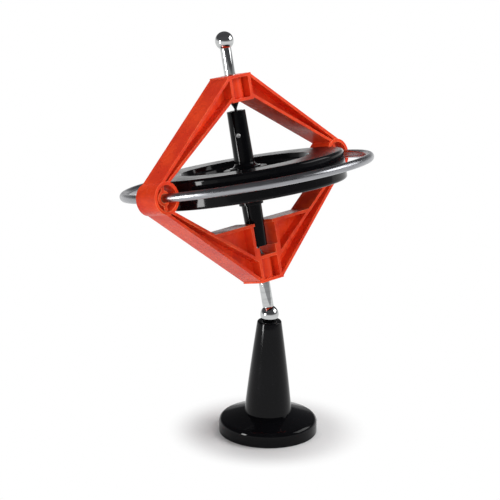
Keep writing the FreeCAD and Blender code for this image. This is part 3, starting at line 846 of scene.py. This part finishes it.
class GYROSCOPE_OT_rotor(bpy.types.Operator):
    """Model the rotor: wheel, cover ring, shaft and collar"""

    bl_idname = "gyroscope.rotor"
    bl_label = "Rotor"

    def execute(self, context):
        wheel = mesh_object("rotor_wheel", self.wheel(), GYRO)
        cover = mesh_object("rotor_cover", self.cover(), GYRO)
        shaft = mesh_object("rotor_spindle", self.shaft(), GYRO)
        collar = mesh_object("rotor_collar_turned", self.collar(), GYRO)
        polished = ["rotor_black_plastic"]
        with_faces = ["rotor_black_plastic", "rotor_black_faces"]
        for piece, finishes, node in (
                (wheel, with_faces, "rotor_body"), (cover, with_faces, "rotor_cover_ring"),
                (shaft, polished, "rotor_shaft"), (collar, polished, "rotor_collar")):
            even_shading(piece)
            dress(piece, finishes, node)
        frame["nodes"]["rotor_weight_ring"].data.materials.clear()
        frame["nodes"]["rotor_weight_ring"].data.materials.append(material("cast_zinc"))
        return {"FINISHED"}

    def half_outline(self):
        """Upper face of the wheel from the shaft outwards."""
        size = sizes()
        face = rotor_high - size.boss_drop
        step_face = rotor_high - size.step_drop
        rim_inner = rotor_radius - size.rim_width
        step_edge = rim_inner - size.step_width
        return [
            (size.shaft_radius, face, 0),
            (size.boss_radius, face, size.step_round),
            (size.boss_radius + size.draft, size.web_half, size.step_round),
            (step_edge - size.draft, size.web_half, size.step_round),
            (step_edge, step_face, size.step_round),
            (rim_inner - size.draft, step_face, size.step_round),
            (rim_inner, rotor_high, size.step_round),
            (rotor_radius, rotor_high, size.rim_round),
        ]

    def wheel(self):
        """Wheel with stepped faces and, in its underside, the weight ring's channel."""
        upper = self.half_outline()
        lower = [(radius, -height, size) for radius, height, size in reversed(upper)]
        groove = sizes().turned_chamfer
        cover_inner = cover_radius - CHANNEL_WIDTH
        outside, rim_face = lower[0], lower[1]
        channel = [
            (cover_radius + groove, rotor_low, 0),
            (cover_radius, rotor_low + groove, 0),
            (cover_radius, -rotor_low - CHANNEL_ROOF, 0),
            (cover_inner, -rotor_low - CHANNEL_ROOF, 0),
            (cover_inner, rotor_low + groove, 0),
            (cover_inner - groove, rotor_low, 0),
        ]
        outline = upper + [outside] + channel + [rim_face] + lower[2:] + [upper[0]]
        return faced(turned(outline))

    def cover(self):
        """Flat ring that closes the channel."""
        groove = sizes().turned_chamfer
        cover_inner = cover_radius - CHANNEL_WIDTH
        return faced(turned([
            (cover_inner, cover_high, 0),
            (cover_radius, cover_high, 0),
            (cover_radius, cover_low, groove),
            (cover_inner, cover_low, groove),
            (cover_inner, cover_high, 0),
        ]))

    def shaft(self):
        """Shaft with a flared foot, a string hole and a seat for a bearing cup in each end."""
        size = sizes()
        face = rotor_high - size.boss_drop
        foot_round = shaft_foot_radius - size.shaft_radius - FOOT_LAND
        seat_floor = cup_low
        bm = turned([
            (0, -seat_floor, 0),
            (cup_radius, -seat_floor, 0),
            (cup_radius, shaft_low, size.turned_chamfer),
            (size.shaft_end_radius, shaft_low, 2 * size.turned_chamfer),
            (size.shaft_radius, collar_low, 0),
            (size.shaft_radius, face, 0),
            (shaft_foot_radius, face, 0),
            (shaft_foot_radius, face + FOOT_LAND, size.turned_chamfer),
            (size.shaft_radius, face + FOOT_LAND, foot_round),
            (size.shaft_end_radius, shaft_high, 2 * size.turned_chamfer),
            (cup_radius, shaft_high, size.turned_chamfer),
            (cup_radius, seat_floor, 0),
            (0, seat_floor, 0),
        ])
        return self.drilled(bm)

    def drilled(self, bm):
        """Cut the string hole, with a small countersink at each mouth."""
        size = sizes()
        hole = next(mount for mount in frame["record"]["mounts"] if mount["name"] == "string_hole")
        place = GYRO.inverted() @ Vector(hole["pos_m"])
        across = GYRO.to_3x3().inverted() @ Vector(hole["axis"])
        turn = math.atan2(across.y, across.x)
        through = 2 * size.shaft_radius
        mouth = size.shaft_radius - COUNTERSINK_DEPTH
        flare = size.string_hole_radius + COUNTERSINK_WIDTH
        drill = turned([
            (0, -through, 0),
            (flare, -through, 0),
            (flare, -mouth - COUNTERSINK_RISE, 0),
            (size.string_hole_radius, -mouth, 0),
            (size.string_hole_radius, mouth, 0),
            (flare, mouth + COUNTERSINK_RISE, 0),
            (flare, through, 0),
            (0, through, 0),
        ], segments=DRILL_SEGMENTS)
        for matrix in (Matrix.Rotation(math.pi / 2, 3, "Y"), Matrix.Rotation(turn, 3, "Z")):
            bmesh.ops.rotate(drill, cent=ORIGIN, matrix=matrix, verts=drill.verts[:])
        bmesh.ops.translate(drill, vec=(0, 0, place.z), verts=drill.verts[:])
        body = mesh_object("spindle_blank", bm)
        cutter = mesh_object("spindle_drill", drill)
        cut = body.modifiers.new("String hole", "BOOLEAN")
        cut.operation = "DIFFERENCE"
        cut.solver = "EXACT"
        cut.object = cutter
        evaluated = body.evaluated_get(bpy.context.evaluated_depsgraph_get())
        result = bmesh.new()
        result.from_mesh(evaluated.to_mesh())
        evaluated.to_mesh_clear()
        for helper in (body, cutter):
            bpy.data.objects.remove(helper)
        return result

    def collar(self):
        size = sizes()
        return turned([
            (size.shaft_radius, collar_high, 0),
            (collar_radius, collar_high, size.turned_chamfer),
            (collar_radius, collar_low, 2 * size.turned_chamfer),
            (size.shaft_radius, collar_low, size.turned_chamfer),
            (size.shaft_radius, collar_high, 0),
        ])


class GYROSCOPE_OT_bearings(bpy.types.Operator):
    """Model the pivot points and the bearing cups"""

    bl_idname = "gyroscope.bearings"
    bl_label = "Bearings"

    def execute(self, context):
        for end, place in ENDS:
            pin = mesh_object(end + "_pivot_turned", place(self.pivot()), GYRO)
            dress(pin, ["dark_ground_steel"], end + "_pivot_point")
            cup = mesh_object(end + "_cup_turned", place(self.cup()), GYRO)
            dress(cup, ["turned_brass"], end + "_bearing_cup")
        return {"FINISHED"}

    def pivot(self):
        """Pointed pin: stub in the block, cone and needle."""
        edge = sizes().turned_chamfer
        block_inner = pivot_high - STUB_LENGTH
        cone_end = block_inner - CONE_LENGTH
        return turned([
            (0, pivot_high, 0),
            (pivot_radius, pivot_high, 0),
            (pivot_radius, block_inner, 0),
            (CONE_RADIUS, block_inner, edge),
            (NEEDLE_RADIUS, cone_end, edge),
            (NEEDLE_RADIUS, needle_low + NEEDLE_TIP_LENGTH, edge),
            (0, needle_low, 0),
        ])

    def cup(self):
        """Bush with a conical floor for the needle."""
        edge = sizes().turned_chamfer
        return turned([
            (0, cup_low, 0),
            (cup_radius, cup_low, 0),
            (cup_radius, cup_high, edge),
            (CUP_HOLE_RADIUS, cup_high, edge),
            (CUP_HOLE_RADIUS, needle_low + NEEDLE_TIP_LENGTH, 0),
            (0, needle_low - NEEDLE_CLEARANCE, 0),
        ])


# ---- stage --------------------------------------------------------------------------------------
class GYROSCOPE_OT_stage(bpy.types.Operator):
    """Set up the floor, the lamps, the world and the camera"""

    bl_idname = "gyroscope.stage"
    bl_label = "Stage"

    def execute(self, context):
        self.floor()
        self.lamps()
        self.world()
        self.camera()
        bpy.context.scene.view_settings.view_transform = "Standard"
        return {"FINISHED"}

    def floor(self):
        bm = bmesh.new()
        bmesh.ops.create_circle(bm, cap_ends=True, segments=64, radius=FLOOR_RADIUS)
        piece = mesh_object("studio_floor", bm)
        piece.data.materials.append(self.floor_material())

    def floor_material(self):
        """Pale grey floor that shows the shadow close round the stand and is plain white away from it."""
        finish = Finish("studio_floor", STAND)
        tree = finish.tree
        tree.nodes.remove(finish.shader)
        output = tree.nodes["Material Output"]
        distance = tree.nodes.new("ShaderNodeVectorMath")
        distance.operation = "LENGTH"
        finish.link(finish.vector, distance.inputs[0])
        away = ramp_node(tree, distance.outputs["Value"], *FLOOR_FADE)
        path = tree.nodes.new("ShaderNodeLightPath")
        seen_or_mirrored = math_node(
            tree, "MAXIMUM", path.outputs["Is Camera Ray"], path.outputs["Is Glossy Ray"])
        background_ray = math_node(
            tree, "MAXIMUM", seen_or_mirrored, path.outputs["Is Transmission Ray"])
        diffuse = tree.nodes.new("ShaderNodeBsdfDiffuse")
        diffuse.inputs["Color"].default_value = (*colours().floor, 1)
        white = tree.nodes.new("ShaderNodeEmission")
        white.inputs["Strength"].default_value = 1.0
        seen = tree.nodes.new("ShaderNodeMixShader")
        finish.link(math_node(tree, "MULTIPLY", away, background_ray), seen.inputs[0])
        finish.link(diffuse.outputs[0], seen.inputs[1])
        finish.link(white.outputs[0], seen.inputs[2])
        finish.link(seen.outputs[0], output.inputs[0])
        return finish.material

    def lamps(self):
        """Soft fills that light the object, and a softbox and a low strip that show in its gloss."""
        for lamp in LAMPS:
            self.lamp(*lamp)

    def lamp(self, name, azimuth, elevation, distance, width, height, radiance, shown_on):
        """Rectangular lamp aimed at the rotor, that shows on surfaces or in reflections, not in both."""
        data = bpy.data.lights.new(name, "AREA")
        data.shape = "RECTANGLE"
        data.size = width
        data.size_y = height
        data.energy = radiance * math.pi * width * height * stage().light_level
        around = math.radians(azimuth) + stage().camera_azimuth
        direction = towards(around, math.radians(elevation))
        target = middle("rotor_body")
        obj = bpy.data.objects.new(name, data)
        obj.location = target + direction * distance
        obj.rotation_mode = "QUATERNION"
        obj.rotation_quaternion = direction.to_track_quat("Z", "Y")
        obj.visible_camera = False
        obj.visible_diffuse = shown_on == "surfaces"
        obj.visible_glossy = shown_on == "reflections"
        bpy.context.scene.collection.objects.link(obj)

    def world(self):
        """Studio room, the same for every ray: pale walls about the horizon and a dim ceiling."""
        world = bpy.data.worlds.new("studio_world")
        bpy.context.scene.world = world
        world.use_nodes = True
        tree = world.node_tree
        tree.nodes.clear()
        direction = tree.nodes.new("ShaderNodeTexCoord")
        parts = tree.nodes.new("ShaderNodeSeparateXYZ")
        tree.links.new(direction.outputs["Generated"], parts.inputs[0])
        overhead = ramp_node(tree, parts.outputs["Z"], *CEILING_START)
        walls = tree.nodes.new("ShaderNodeBackground")
        walls.inputs["Color"].default_value = (*colours().walls, 1)
        ceiling = tree.nodes.new("ShaderNodeBackground")
        ceiling.inputs["Color"].default_value = (*colours().ceiling, 1)
        room = tree.nodes.new("ShaderNodeMixShader")
        tree.links.new(overhead, room.inputs[0])
        tree.links.new(walls.outputs[0], room.inputs[1])
        tree.links.new(ceiling.outputs[0], room.inputs[2])
        output = tree.nodes.new("ShaderNodeOutputWorld")
        tree.links.new(room.outputs[0], output.inputs[0])

    def camera(self):
        place = stage()
        back = towards(place.camera_azimuth, place.camera_elevation)
        data = bpy.data.cameras.new("studio_camera")
        data.lens = place.camera_lens
        data.clip_start = CLIP_START
        obj = bpy.data.objects.new("studio_camera", data)
        obj.location = Vector(place.camera_target) + back * place.camera_distance
        obj.rotation_mode = "QUATERNION"
        roll = Euler((0, 0, place.camera_roll)).to_quaternion()
        obj.rotation_quaternion = (-back).to_track_quat("-Z", "Y") @ roll
        bpy.context.scene.collection.objects.link(obj)
        bpy.context.scene.camera = obj


class GYROSCOPE_PT_panel(bpy.types.Panel):
    """Steps and values of the gyroscope"""

    bl_idname = "GYROSCOPE_PT_panel"
    bl_label = "Gyroscope on stand"
    bl_space_type = "VIEW_3D"
    bl_region_type = "UI"
    bl_category = "Gyroscope"

    def draw(self, context):
        for step in STEPS:
            self.layout.operator(step.bl_idname)
        for group in (sizes(), colours(), stage()):
            column = self.layout.column()
            for name in group.__annotations__:
                column.prop(group, name)


STEPS = (
    GYROSCOPE_OT_finishes,
    GYROSCOPE_OT_stand,
    GYROSCOPE_OT_balls_and_rods,
    GYROSCOPE_OT_moulded_frame,
    GYROSCOPE_OT_ring,
    GYROSCOPE_OT_rotor,
    GYROSCOPE_OT_bearings,
    GYROSCOPE_OT_stage,
)
GROUPS = (GyroscopeSizes, GyroscopeColours, GyroscopeStage)


def register():
    for cls in GROUPS + STEPS + (GYROSCOPE_PT_panel,):
        bpy.utils.register_class(cls)
    bpy.types.Scene.gyroscope_sizes = bpy.props.PointerProperty(type=GyroscopeSizes)
    bpy.types.Scene.gyroscope_colours = bpy.props.PointerProperty(type=GyroscopeColours)
    bpy.types.Scene.gyroscope_stage = bpy.props.PointerProperty(type=GyroscopeStage)


def unregister():
    del bpy.types.Scene.gyroscope_stage
    del bpy.types.Scene.gyroscope_colours
    del bpy.types.Scene.gyroscope_sizes
    for cls in reversed(GROUPS + STEPS + (GYROSCOPE_PT_panel,)):
        bpy.utils.unregister_class(cls)


def main():
    register()
    for step in STEPS:
        group, name = step.bl_idname.split(".")
        getattr(getattr(bpy.ops, group), name)()


if __name__ == "__main__":
    main()
